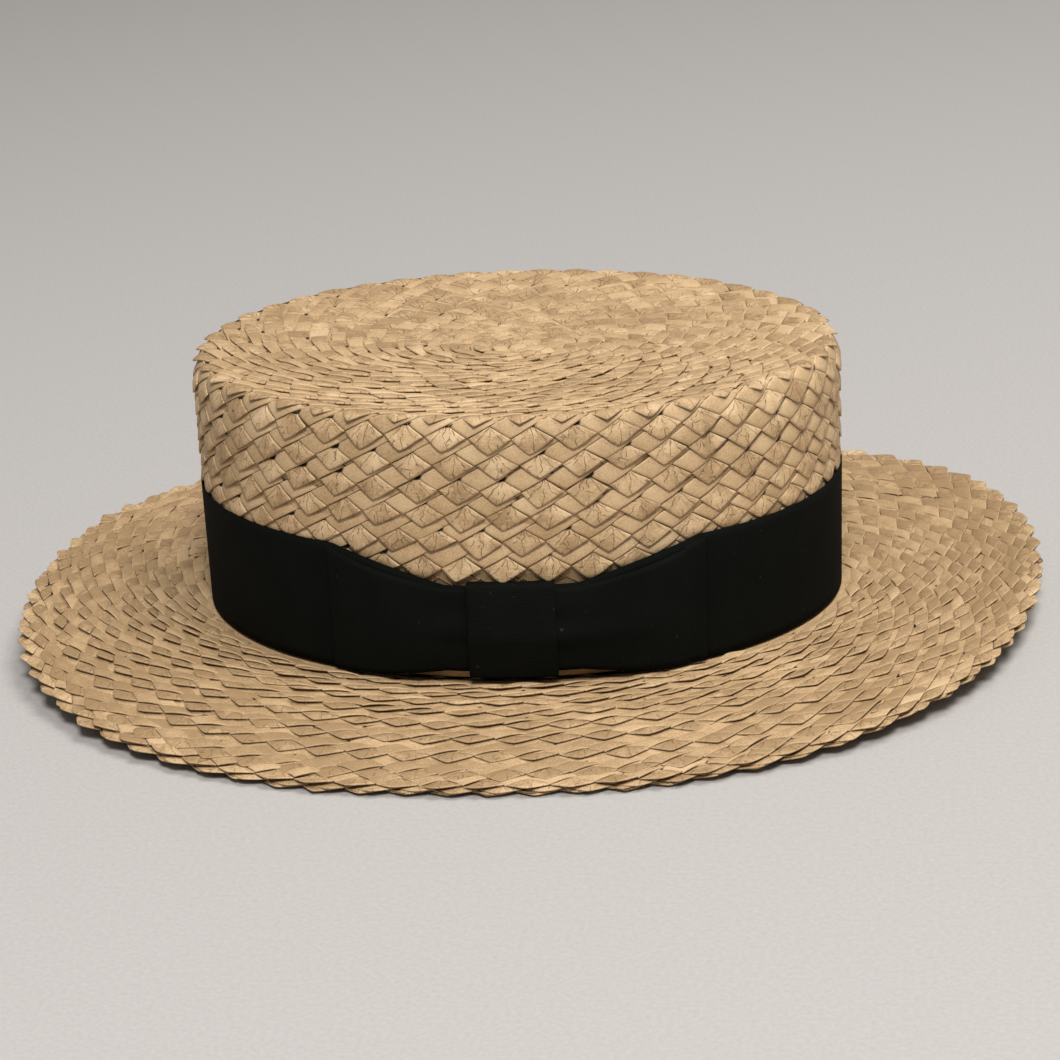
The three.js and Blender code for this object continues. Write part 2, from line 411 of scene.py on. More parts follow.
@dataclass(frozen=True)
class Plait:
    """Lays rows of plait from cells.

    The gap is the share of a cell's side that is left free at each end, the straw is the straw's
    thickness, and the rim drop rounds its edge. Sway and reachout are how far the teeth wander
    along and across the row, and off centre is how far the creases of a fold start beside its
    pinhole. A pinhole is open where the draw between the two hole chances is above 0.
    """

    gap: float = 0.014
    straw: float = 0.62
    rim_drop: float = 0.09
    sway: float = 0.045
    reachout: float = 0.45
    off_centre: float = 0.4
    hole_chances: tuple[float, float] = (-0.4, 1.25)
    hole_depth: float = 0.6
    hole_sharpness: float = 45.0
    map_shift: float = 400.0

    def rise(self, cell: PlaitCell, a: Array, b: Array) -> Array:
        """The rise of a cell's face, from its two shares.

        The fold climbs from its upper left edge and is crowned, a product of two sines. The
        rising straw climbs and is crowned across, arches along by a sine and dips under the row
        above at its far end. The falling straw lies low.

        Args:
            cell: the kind of cell.
            a: share along its first side.
            b: share along its second side.

        Returns:
            The rise in millimetres.
        """
        if cell is PlaitCell.FOLD:
            crown = np.sin(np.pi * a) * np.sin(np.pi * b)
            return 0.12 + 0.45 * a**0.7 - 0.1 * b + 0.34 * crown
        if cell is PlaitCell.RISING:
            across = (0.34 * a + 0.22 * np.sin(np.pi * a)) * (1.0 - b**3)
            return across + 0.32 * np.sin(np.pi * b) - 0.2 * b**4 + 0.06
        return 0.02 + 0.12 * np.sin(np.pi * b)

    def fibre(self, cell: PlaitCell, u: Array, v: Array, a: Array, b: Array) -> Array:
        """The fibre map of a cell, in millimetres along and across its straw.

        The fold has millimetres along and across the row instead.

        Args:
            cell: the kind of cell.
            u: place along the row in millimetres.
            v: place across the row in millimetres.
            a: share along its first side.
            b: share along its second side.

        Returns:
            Two numbers to each point.
        """
        if cell is PlaitCell.FOLD:
            return np.stack([u - u[:, :1, :1], v], -1)
        if cell is PlaitCell.RISING:
            return np.stack([RISING_LENGTH * b + 0.0 * u, STRAW_WIDTH * a + 0.0 * u], -1)
        return np.stack([FALLING_LENGTH * a + 0.0 * u, STRAW_WIDTH * b + 0.0 * u], -1)

    def lay(self, bed: Bed, row: Row, detail: Detail, rng: np.random.Generator) -> MeshData:
        """Lays one row of plait on a bed.

        Every cell is a grid over its four corners (bilinear), whose outermost ring drops to the
        foot of the straw's edge, so that each has its thickness. Cells of all teeth are worked out
        at once. Small seeded changes keep any two teeth from being alike.

        Args:
            bed: what the row lies on.
            row: the row.
            detail: how finely the cells are cut.
            rng: the source of the small changes.

        Returns:
            The row's mesh.
        """
        each = (row.teeth, 1, 1)
        tooth = np.arange(row.teeth)[:, None, None]
        squeeze = row.width / FULL_ROW
        sway = rng.normal(0.0, self.sway, each)
        reachout = rng.normal(0.0, self.reachout, each)
        open_hole = rng.uniform(*self.hole_chances, each).clip(0.0, 1.0)
        off_centre = rng.normal(0.0, self.off_centre, each)
        waves = self.waves(row, rng)
        shares, levels = detail.sides()
        a, b = np.meshgrid(shares, shares, indexing="ij")
        ring = np.minimum(levels[:, None], levels[None, :])
        drop = np.where(ring < 1.0, self.straw, np.where(ring < 2.0, self.rim_drop, 0.0))
        pit = np.exp(-(a**2 + b**2) * self.hole_sharpness) * open_hole
        held_a = self.gap + (1.0 - 2.0 * self.gap) * a
        held_b = self.gap + (1.0 - 2.0 * self.gap) * b
        weights = [
            (1 - held_a) * (1 - held_b),
            held_a * (1 - held_b),
            held_a * held_b,
            (1 - held_a) * held_b,
        ]
        starts = (np.arange(row.teeth) * a.size)[:, None, None]
        parts = []
        for cell in PlaitCell:
            is_fold = cell is PlaitCell.FOLD
            u = sum(weight * corner[0] for weight, corner in zip(weights, cell.value))
            v = sum(weight * corner[1] for weight, corner in zip(weights, cell.value))
            low = np.clip(v / TOOTH_TIP, 0.0, 1.0) if is_fold else 0.0 * v
            if is_fold:
                v = v - row.blunt * (a * b) ** 5
            place_u = u + tooth + row.phase + sway * low
            place_v = v + reachout * low
            turn = FULL_TURN * place_u / row.teeth
            from_tip = (place_v * row.depth - TOOTH_TIP * row.depth) * squeeze
            across = row.tip + from_tip + waves(turn)
            stagger = rng.normal(0.0, row.loose, each)
            tilt = rng.normal(0.0, 2.5 * row.loose, each) * (held_a - 0.5)
            rise = self.rise(cell, held_a, held_b) + stagger + tilt
            hang = np.clip((place_v + TOOTH_WAIST) / (TOOTH_TIP + TOOTH_WAIST), 0.0, 1.2)
            rise = rise - self.hole_depth * pit - drop + row.step * hang + row.lift
            points, reach = bed.place(across, turn, rise)
            quads = grid_quads(*a.shape)
            if (bed.facing is Facing.RIGHT) != (cell is not PlaitCell.FALLING):
                quads = quads[:, ::-1]
            pitch = HAT.girth(row_reach(reach)) / row.teeth
            fibre = self.fibre(cell, place_u * pitch, place_v, held_a, held_b)
            offset = rng.uniform(0.0, self.map_shift, (*each, 2))
            lighter = -row.contrast if is_fold else row.contrast
            tint = rng.normal(row.tone + lighter, row.spread, each)
            spot = 0.0 * place_u
            parts.append(
                MeshData(
                    points.reshape(-1, 3),
                    (quads[None] + starts).reshape(-1, 4),
                    (fibre + offset).reshape(-1, 2),
                    {
                        "tint": (tint + spot).ravel(),
                        "face": (0.5 * ring + spot).ravel(),
                        "fold": np.full(place_u.size, row.creased * is_fold),
                        "pit": (pit + spot).ravel(),
                        "aside": ((u * TOOTH_WIDTH + off_centre) * is_fold).ravel(),
                        "below": ((v + spot) * is_fold).ravel(),
                    },
                )
            )
        return MeshData.join(parts)

    def waves(self, row: Row, rng: np.random.Generator) -> Callable[[Array], Array]:
        """A slow wander of the row's seam: a few sines of the turn with seeded phases.

        Args:
            row: the row.
            rng: the source of the phases.

        Returns:
            A function of the turn, in millimetres.
        """
        counts = np.array([2.0, 3.0, 5.0, 9.0])
        sizes = np.array([0.22, 0.16, 0.14, 0.1]) * min(1.0, row.teeth / 20.0)
        phases = rng.uniform(0.0, FULL_TURN, len(counts))

        def wander(turn: Array) -> Array:
            """Returns the sum of the sines at a turn."""
            angles = turn[..., None] * counts + phases
            return (np.sin(angles) * sizes).sum(axis=-1)

        return wander


def row_reach(reach: Array) -> float:
    """The reach of the middle of a row, at least a few millimetres."""
    return float(max(np.mean(reach), 4.0))


def shell(profile: Array, turns: int, settle: Settle, tone: float) -> MeshData:
    """Sweeps a closed profile of reach and height round the oval.

    Args:
        profile: the points of the profile, one after another.
        turns: number of steps round the oval.
        settle: the function that places a reach, a height and a turn.
        tone: how light the straw is.

    Returns:
        The swept surface.
    """
    oval_reach, behind = 100.0, 0.3
    turn = np.linspace(0.0, FULL_TURN, turns, endpoint=False)[None, :]
    spot = 0.0 * (profile[:, :1] + turn)
    points = settle(profile[:, :1] + spot, profile[:, 1:] + spot, turn + spot)
    fibre = np.stack([oval_reach * turn + spot, way_along(profile)[:, None] + spot], axis=-1)
    marks = {"tint": spot + tone, "face": spot + behind}
    marks.update({name: spot for name in ("fold", "pit", "aside", "below")})
    return MeshData(
        points.reshape(-1, 3),
        grid_quads(len(profile), turns, wrap=True),
        fibre.reshape(-1, 2),
        {name: values.ravel() for name, values in marks.items()},
    )


def close_poles(piece: bpy.types.Object) -> None:
    """Merges the points of a swept surface that lie in one place, as at poles and seams."""
    same_place = 0.05 * MM
    form = bmesh.new()
    form.from_mesh(piece.data)
    bmesh.ops.remove_doubles(form, verts=form.verts, dist=same_place)
    form.to_mesh(piece.data)
    form.free()


class Nodes:
    """Builds the node tree of one material with short calls."""

    def __init__(self, name: str) -> None:
        """Starts a material with an empty tree.

        Args:
            name: the material's name.
        """
        self.material = bpy.data.materials.new(name)
        self.material.use_nodes = True
        self.tree = self.material.node_tree
        self.tree.nodes.clear()

    def add(self, kind: str, **settings: object) -> bpy.types.Node:
        """Adds a node and sets its properties.

        Args:
            kind: the node's type.
            settings: properties of the node by name.

        Returns:
            The node.
        """
        node = self.tree.nodes.new(kind)
        for name, value in settings.items():
            setattr(node, name, value)
        return node

    def link(self, source: Socket, target: Socket) -> None:
        """Joins an output to an input."""
        self.tree.links.new(source, target)

    def read(self, mark: str) -> Socket:
        """Adds a node that reads one of the numbers kept for each vertex."""
        return self.add("ShaderNodeAttribute", attribute_name=mark).outputs["Fac"]

    def math(self, operation: str, *values: object, clamp: bool = False) -> Socket:
        """Adds a Math node.

        Args:
            operation: its operation.
            values: a number or an output for each input.
            clamp: whether the result is held between 0 and 1.

        Returns:
            Its output.
        """
        node = self.add("ShaderNodeMath", operation=operation, use_clamp=clamp)
        for socket, value in zip(node.inputs, values):
            if isinstance(value, (int, float)):
                socket.default_value = value
            else:
                self.link(value, socket)
        return node.outputs[0]

    def vary(self, base: object, value: Socket, share: float, clamp: bool = False) -> Socket:
        """Adds to a base a share of a value that swings round one half.

        Args:
            base: a number or an output.
            value: an output from 0 to 1.
            share: how much of it is added.
            clamp: whether the result is held between 0 and 1.

        Returns:
            The varied base.
        """
        swing = self.math("SUBTRACT", value, 0.5)
        return self.math("MULTIPLY_ADD", swing, share, base, clamp=clamp)

    def above(self, value: object, limit: object, slope: float) -> Socket:
        """Gives 0 where a value is under a limit, then rises by the slope to 1."""
        return self.math("MULTIPLY", self.math("SUBTRACT", value, limit), slope, clamp=True)

    def close_to(self, distance: Socket, slope: float) -> Socket:
        """Gives 1 where a distance is 0, and falls by the slope to 0."""
        return self.math("SUBTRACT", 1.0, self.math("MULTIPLY", distance, slope), clamp=True)

    def noise(self, vector: Socket, scale: float, detail: float, rough: float = 0.5) -> Socket:
        """Adds a noise texture.

        Args:
            vector: where it is read.
            scale: its scale.
            detail: its octaves.
            rough: its roughness.

        Returns:
            Its value, from 0 to 1.
        """
        node = self.add("ShaderNodeTexNoise")
        self.link(vector, node.inputs["Vector"])
        node.inputs["Scale"].default_value = scale
        node.inputs["Detail"].default_value = detail
        node.inputs["Roughness"].default_value = rough
        return node.outputs[0]

    def stretch(self, vector: Socket, along: float, across: float) -> Socket:
        """Adds a Mapping node that scales a fibre map along and across the straw or ribbon."""
        node = self.add("ShaderNodeMapping")
        self.link(vector, node.inputs["Vector"])
        node.inputs["Scale"].default_value = (along, across, 1.0)
        return node.outputs[0]

    def ramp(self, factor: Socket, stops: list[tuple[float, Colour]]) -> Socket:
        """Adds a colour ramp.

        Args:
            factor: its factor.
            stops: places and colours, in order.

        Returns:
            Its colour.
        """
        node = self.add("ShaderNodeValToRGB")
        elements = node.color_ramp.elements
        while len(elements) < len(stops):
            elements.new(0.5)
        for element, (place, colour) in zip(elements, stops):
            element.position = place
            element.color = (*colour, 1.0)
        self.link(factor, node.inputs[0])
        return node.outputs[0]

    def mix(self, factor: object, first: object, second: object) -> Socket:
        """Adds a colour mix.

        Args:
            factor: a number or an output.
            first: a colour or an output.
            second: a colour or an output.

        Returns:
            The mixed colour.
        """
        node = self.add("ShaderNodeMix", data_type="RGBA")
        sockets = (node.inputs[0], node.inputs[6], node.inputs[7])
        for socket, value in zip(sockets, (factor, first, second)):
            if isinstance(value, (int, float)):
                socket.default_value = value
            elif isinstance(value, tuple):
                socket.default_value = (*value, 1.0)
            else:
                self.link(value, socket)
        return node.outputs[2]

    def paint(self, colour: Socket, mask: Socket, share: float, paint: Colour) -> Socket:
        """Lays a share of a paint on a colour where a mask is 1."""
        return self.mix(self.math("MULTIPLY", mask, share), colour, paint)

    def relief(self, height: Socket, strength: float) -> Socket:
        """Adds a Bump node for a height in metres, and gives its normal."""
        node = self.add("ShaderNodeBump")
        node.inputs["Strength"].default_value = strength
        node.inputs["Distance"].default_value = 1.0
        self.link(height, node.inputs["Height"])
        return node.outputs[0]

    def surface(
        self, colour: Socket, rough: float, shine: float, normal: Socket | None = None
    ) -> bpy.types.Material:
        """Adds the shader and the output that end the tree.

        Args:
            colour: the base colour.
            rough: the roughness.
            shine: the strength of its reflections.
            normal: the normal, where the surface isn't smooth.

        Returns:
            The material.
        """
        shader = self.add("ShaderNodeBsdfPrincipled")
        shader.inputs["Roughness"].default_value = rough
        shader.inputs["Specular IOR Level"].default_value = shine
        self.link(colour, shader.inputs["Base Color"])
        if normal is not None:
            self.link(normal, shader.inputs["Normal"])
        output = self.add("ShaderNodeOutputMaterial")
        self.link(shader.outputs[0], output.inputs["Surface"])
        return self.material


@dataclass(frozen=True)
class StrawFinish:
    """Natural straw: tan with paler and greyer straws, fine fibres, and creases where it folds.

    The shares say how much the colour changes with each kind of mark: in the facets between the
    creases, where a random tone for each facet is painted shade of facets lying at different angles,
    in wide patches, in small mottles, in streaks along the straw and in fine specks, then painted
    shade on the creases, a painted highlight on the straw's pale lip, painted shade at the foot of
    its edge and painted shade in its open pinholes. Depths are in metres.
    """

    name: str = "straw"
    pale: Colour = (0.66, 0.475, 0.275)
    middle: Colour = (0.525, 0.35, 0.182)
    deep: Colour = (0.335, 0.21, 0.1)
    # edge: painted shade at the foot of the straw's edge, where it meets the straw below
    edge: Colour = (0.20, 0.115, 0.052)
    # painted shade in the creases of the folds
    crease_shade: Colour = (0.10, 0.05, 0.02)
    # near-black painted shade in the open pinholes
    hole_shade: Colour = (0.012, 0.006, 0.003)
    rough: float = 0.6
    shine: float = 0.35
    relief: float = 0.8
    fibre_depth: float = 0.00012
    crease_depth: float = 0.00022
    facet_shade_share: float = 0.3
    patch_share: float = 0.6
    mottle_share: float = 1.1
    streak_share: float = 0.45
    speck_share: float = 1.0
    crease_shade_share: float = 0.9
    lip_highlight_share: float = 0.55
    foot_shade_share: float = 0.75

    def fan(self, nodes: Nodes, fibre_map: Socket) -> Socket:
        """Adds three lines that spread from a fold's pinhole down to its edge, a little bent.

        Args:
            nodes: the tree it goes into.
            fibre_map: the fibre map.

        Returns:
            A value, 1 on a line and 0 away from it.
        """
        aside, below = nodes.read("aside"), nodes.read("below")
        bend = nodes.noise(nodes.stretch(fibre_map, 0.32, 0.32), 1.0, 1.0)
        aside = nodes.vary(aside, bend, 3.0)
        near = nodes.math("ABSOLUTE", aside)
        slant_cosine = 0.77
        for slope in (-0.9, 0.8):
            away = nodes.math("ABSOLUTE", nodes.math("MULTIPLY_ADD", below, slope, aside))
            near = nodes.math("MINIMUM", near, nodes.math("MULTIPLY", away, slant_cosine))
        return nodes.close_to(near, 6.0)

    def creases(self, nodes: Nodes, fibre_map: Socket) -> tuple[Socket, Socket]:
        """Adds straight thin lines between flat facets, as in straw that is bent sharply.

        Args:
            nodes: the tree it goes into.
            fibre_map: the fibre map.

        Returns:
            A value, 1 on a line and 0 away from it, and a random value for each facet.
        """
        stretched = nodes.stretch(fibre_map, 0.26, 0.2)
        lines = nodes.add("ShaderNodeTexVoronoi", feature="DISTANCE_TO_EDGE")
        facets = nodes.add("ShaderNodeTexVoronoi", feature="F1")
        for texture in (lines, facets):
            texture.inputs["Scale"].default_value = 1.0
            nodes.link(stretched, texture.inputs["Vector"])
        line = nodes.close_to(lines.outputs["Distance"], 30.0)
        shown = nodes.noise(nodes.stretch(fibre_map, 0.45, 0.45), 1.0, 1.0)
        cross, spread = nodes.above(shown, 0.5, 7.0), nodes.above(0.62, shown, 7.0)
        line = nodes.math("MULTIPLY", line, cross)
        fan = nodes.math("MULTIPLY", self.fan(nodes, fibre_map), spread)
        line = nodes.math("MAXIMUM", line, fan)
        split = nodes.add("ShaderNodeSeparateColor")
        nodes.link(facets.outputs["Color"], split.inputs[0])
        return line, split.outputs[0]

    def material(self) -> bpy.types.Material:
        """Builds the straw's material.

        Returns:
            The material.
        """
        nodes = Nodes(self.name)
        fibre_map = nodes.add("ShaderNodeUVMap", uv_map="fibre").outputs[0]
        place = nodes.add("ShaderNodeTexCoord").outputs["Object"]
        tint, face, fold, pit = map(nodes.read, ("tint", "face", "fold", "pit"))

        streak = nodes.noise(nodes.stretch(fibre_map, 0.12, 2.6), 1.0, 3.0, 0.6)
        fine = nodes.noise(nodes.stretch(fibre_map, 0.35, 9.0), 1.0, 2.0)
        patch = nodes.noise(place, 42.0, 3.0, 0.55)
        speck = nodes.noise(place, 2100.0, 2.0, 0.6)
        mottle = nodes.noise(place, 150.0, 2.0, 0.6)
        crease, facet = self.creases(nodes, fibre_map)
        crease = nodes.math("MULTIPLY", crease, nodes.math("MULTIPLY", fold, 0.97))
        facet = nodes.math("MULTIPLY", nodes.math("SUBTRACT", facet, 0.5), fold)

        # a random lighter and darker tone for each facet of a fold, painted shade of facets lying at
        # different angles
        shade = nodes.math("MULTIPLY_ADD", facet, self.facet_shade_share, tint)
        shade = nodes.vary(shade, patch, self.patch_share)
        mottle = nodes.vary(0.0, mottle, self.mottle_share)
        mottle = nodes.math("MULTIPLY", mottle, nodes.math("MULTIPLY_ADD", fold, 0.7, 0.5))
        shade = nodes.math("ADD", mottle, shade)
        shade = nodes.vary(shade, streak, self.streak_share)
        shade = nodes.vary(shade, speck, self.speck_share)
        colour = nodes.ramp(shade, [(0.1, self.deep), (0.5, self.middle), (0.95, self.pale)])
        # painted shade along the creases
        colour = nodes.paint(colour, crease, self.crease_shade_share, self.crease_shade)
        # painted highlight along the upper part of each straw's edge, where the cut edge would catch
        # the light
        lip = nodes.close_to(nodes.math("ABSOLUTE", nodes.math("SUBTRACT", face, 0.55)), 4.0)
        colour = nodes.paint(colour, lip, self.lip_highlight_share, self.pale)
        # painted shade at the foot of every straw's edge
        colour = nodes.paint(colour, nodes.close_to(face, 4.0), self.foot_shade_share, self.edge)
        # open pinholes painted near black, as painted shade inside them
        colour = nodes.mix(nodes.above(pit, 0.32, 6.0), colour, self.hole_shade)

        height = nodes.vary(0.0, fine, self.fibre_depth)
        height = nodes.math("MULTIPLY_ADD", streak, self.fibre_depth, height)
        height = nodes.math("MULTIPLY_ADD", crease, -self.crease_depth, height)
        return nodes.surface(colour, self.rough, self.shine, nodes.relief(height, self.relief))


@dataclass(frozen=True)
class RibbonFinish:
    """Black grosgrain: close ribs across the ribbon, uneven yarn, worn patches and a little lint.

    The shares say how much each of them changes the tone between cloth and lit, which is the base
    tone where they are all at their middle; on the ribs this is painted shade in their grooves.
    Depths are in metres.
    """

    name: str
    ribs_per_mm: float = 1.55
    rib_depth: float = 0.00006
    yarn_depth: float = 0.00008
    cloth: Colour = (0.0018, 0.0023, 0.0017)
    lit: Colour = (0.0070, 0.0080, 0.0066)
    dust: Colour = (0.16, 0.15, 0.12)
    rough: float = 0.85
    shine: float = 0.06
    relief: float = 0.7
    base_tone: float = 0.34
    rib_shade_share: float = 0.1
    yarn_share: float = 0.7
    worn_share: float = 0.6
    lint_share: float = 0.15

    def material(self) -> bpy.types.Material:
        """Builds the ribbon's material. Its map has millimetres along the ribbon, then across.

        Returns:
            The material.
        """
        nodes = Nodes(self.name)
        fibre_map = nodes.add("ShaderNodeUVMap", uv_map="fibre").outputs[0]
        place = nodes.add("ShaderNodeTexCoord").outputs["Object"]
        parts = nodes.add("ShaderNodeSeparateXYZ")
        nodes.link(fibre_map, parts.inputs[0])
        turn = nodes.math("MULTIPLY", parts.outputs[0], FULL_TURN * self.ribs_per_mm)
        rib = nodes.math("SINE", turn)
        yarn = nodes.noise(nodes.stretch(fibre_map, 1.5, 5.0), 1.0, 2.0, 0.6)
        worn = nodes.noise(place, 55.0, 3.0, 0.6)
        lint = nodes.above(nodes.noise(place, 620.0, 1.0, 0.4), 0.77, 14.0)

        # the ribs' tone follows their relief: painted shade in the grooves between the ribs
        tone = nodes.math("MULTIPLY_ADD", rib, self.rib_shade_share, self.base_tone)
        tone = nodes.vary(tone, yarn, self.yarn_share)
        tone = nodes.vary(tone, worn, self.worn_share, clamp=True)
        colour = nodes.mix(tone, self.cloth, self.lit)
        colour = nodes.paint(colour, lint, self.lint_share, self.dust)

        height = nodes.math("MULTIPLY", rib, self.rib_depth)
        height = nodes.math("MULTIPLY_ADD", yarn, self.yarn_depth, height)
        return nodes.surface(colour, self.rough, self.shine, nodes.relief(height, self.relief))


@dataclass(kw_only=True)
class Coil:
    """A part of the hat that is sewn from coiled rows of plait."""

    straw: bpy.types.Material
    rng: np.random.Generator
    pitch: float = TOOTH_WIDTH
    row_width: float = 8.0
    plait: Plait = field(default_factory=Plait)

    def teeth(self, reach: float) -> int:
        """The number of teeth on a row of that reach, which is four at least."""
        return max(4, round(HAT.girth(reach) / self.pitch))

    def sew(
        self, name: str, bed: Bed, rows: Iterable[Row], detail: Detail = FINE
    ) -> bpy.types.Object:
        """Lays rows on a bed as one piece. Each row is made just before it is laid.

        Args:
            name: the piece's name.
            bed: what the rows lie on.
            rows: the rows in order.
            detail: how finely their cells are cut.

        Returns:
            The piece.
        """
        parts = [self.plait.lay(bed, row, detail, self.rng) for row in rows]
        return MeshData.join(parts).build(name, self.straw, "straw_braid")


@dataclass(kw_only=True)
class Crown(Coil):
    """The crown: a plaited top, a plaited wall, their shell and the rows inside.

    Lengths are in millimetres. The side tips are the heights at which the rows of the wall end,
    the sinks are how far the beds lie under the crown's face, and the pressed depth is how far
    the straw lies under it where the ribbon holds it.
    """

    ribbon: "Ribbon"
    side_tips: tuple[float, ...] = (70.7, 62.7, 54.7, 46.7, 38.7, 30.7, 1.7)
    side_start: float = 1.0
    side_sink: float = 1.9
    top_sink: float = 1.4
    lip_start: float = 3.8
    lip_radius: float = 4.0
    lip_bend: float = 0.95
    pressed_depth: float = 1.5
    inner_depth: float = 2.8
    inner_flare: float = 0.6
    inner_corner: float = 1.3
    least_reach: float = 6.0

    def top_bed(self) -> Bed:
        """The top's bed: dished, with a lip that turns down over the shoulder."""
        flat, rim = HAT.crown_reach - self.lip_start, HAT.crown_height - self.top_sink
        reach = np.linspace(0.0, flat, 60)
        top = np.stack([reach, rim - HAT.dish(reach)], -1)
        bend = np.linspace(0.0, self.lip_bend, 7)[1:]
        drop = self.lip_radius * np.cos(bend) - self.lip_radius
        lip = np.stack([flat + self.lip_radius * np.sin(bend), rim + drop], -1)
        return Bed(np.concatenate([top, lip]), Facing.LEFT, HAT.on_crown)

    def side_bed(self) -> Bed:
        """The wall's bed, from under the rim down to the crown's foot."""
        height = np.array([HAT.crown_height - self.side_start, 78.0, 74.0, 40.0, 0.0])
        under_rim = np.array([2.4, 1.0, 0.0, 0.0, 0.0])
        reach = HAT.crown_face(height) - self.side_sink - under_rim
        return Bed(np.stack([reach, height], -1), Facing.LEFT, self.under_ribbon)

    def inside(self, depth: float, foot: float, steps: int) -> Array:
        """The crown's inside, from the middle of its ceiling over a rounded corner to its foot.

        Args:
            depth: how far it lies inside the crown's face.
            foot: the height of its lower end.
            steps: the number of points on the ceiling.

        Returns:
            The reach and height of its points.
        """
        top = HAT.crown_height - depth
        wall = HAT.crown_reach + self.inner_flare - depth
        reach = np.linspace(0.0, HAT.crown_reach - depth - HAT.shoulder, steps)
        corners = [
            (wall - self.inner_corner, top - self.inner_corner),
            (wall, top - HAT.shoulder),
            (HAT.crown_reach - depth, foot),
        ]
        return np.concatenate([np.stack([reach, top - HAT.dish(reach)], -1), corners])

    def under_ribbon(self, reach: Array, height: Array, turn: Array) -> Array:
        """Places points of the wall, pressed flat where the ribbon lies on them.

        Args:
            reach: half length of the oval along X.
            height: height over the crown's foot.
            turn: turn from the +X end, in radians.

        Returns:
            The places.
        """
        distance = self.ribbon.distance(turn)
        top = self.ribbon.gathered(self.ribbon.band_height + 0.0 * distance, distance)
        foot = self.ribbon.gathered(0.0 * distance, distance)
        under_top = smooth_step((top - height + 0.6) / 1.6)
        over_foot = smooth_step((height - foot + 1.0) / 1.4)
        held = np.minimum(reach, HAT.crown_face(height) - self.pressed_depth)
        return HAT.on_crown(reach + (held - reach) * (under_top * over_foot), height, turn)

    def build_top(self) -> bpy.types.Object:
        """Lays the rows of the top, from the rim to the coil's eye.

        Returns:
            The piece.
        """
        bed = self.top_bed()
        tips = bed.length - self.row_width * np.arange(bed.length // self.row_width)
        rows = (
            Row(
                tip,
                self.row_width,
                self.teeth(max(tip, self.least_reach)),
                self.rng.uniform(),
                step=0.45 if tip == bed.length else 0.75,
                tone=0.33,
                contrast=0.03,
            )
            for tip in tips
        )
        return self.sew("crown_top_plait", bed, rows)

    def build_side(self) -> bpy.types.Object:
        """Lays the rows of the wall down to just under the ribbon's edge, and one at its foot.

        Returns:
            The piece.
        """
        start = HAT.crown_height - self.side_start
        rows = (
            Row(
                start - height,
                self.row_width,
                self.teeth(HAT.crown_reach),
                self.rng.uniform(),
                step=1.45,
                tone=0.46,
                contrast=0.04,
            )
            for height in self.side_tips
        )
        return self.sew("crown_side_plait", self.side_bed(), rows)

    def build_shell(self) -> bpy.types.Object:
        """Makes the shell behind the plait: outside, foot and inside in one closed profile.

        Returns:
            The piece, which stands for the crown's two solids.
        """
        behind, foot = 0.3, 0.3
        outer = self.top_bed().profile[:-4] - behind
        outer[0, 0] = 0.0
        heights = np.array([78.0, 73.0])
        reaches = HAT.crown_face(heights) - self.side_sink - np.array([1.6, 0.6])
        upper = np.stack([reaches, heights], -1)
        lower = [(HAT.crown_reach - self.side_sink - 0.2, foot)]
        inside = self.inside(self.inner_depth, foot, 30)[::-1]
        profile = np.concatenate([outer, upper, lower, inside])
        made = shell(profile, 240, HAT.on_crown, 0.4)
        piece = made.build("crown_shell", self.straw, "straw_braid")
        close_poles(piece)
        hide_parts("crown_top", "crown_side")
        return piece

    def build_inside(self) -> bpy.types.Object:
        """Lays the rows that show inside the crown, over its ceiling and down its wall.

        Returns:
            The piece.
        """
        over_shell, over_foot = 0.35, 0.5
        inside = self.inside(self.inner_depth - over_shell, over_foot, 40)
        bed = Bed(inside, Facing.RIGHT, HAT.on_crown)
        end = bed.length - over_foot
        rows = (
            Row(
                tip,
                self.row_width,
                self.teeth(max(min(tip, HAT.crown_reach), self.least_reach)),
                self.rng.uniform(),
                step=0.5,
                lift=-0.25,
                tone=0.42,
            )
            for tip in end - self.row_width * np.arange(end // self.row_width)
        )
        return self.sew("crown_inside_plait", bed, rows, COARSE)


@dataclass(frozen=True)
class EdgeLayer:
    """A layer of the toothed edge: its side and level, how far in it ends, and how it lies."""

    facing: Facing
    level: float
    inset: float
    phase: float
    step: float
    tone: float


EDGE_LAYERS = {
    "brim_edge_upper": (
        EdgeLayer(Facing.LEFT, level=0.5, inset=0.6, phase=0.0, step=1.5, tone=0.34),
        EdgeLayer(Facing.LEFT, level=-0.4, inset=0.2, phase=0.44, step=1.0, tone=0.36),
    ),
    "brim_edge_lower": (
        EdgeLayer(Facing.LEFT, level=-0.5, inset=0.6, phase=0.21, step=0.2, tone=0.32),
        EdgeLayer(Facing.RIGHT, level=0.1, inset=0.6, phase=0.21, step=0.0, tone=0.3),
    ),
}


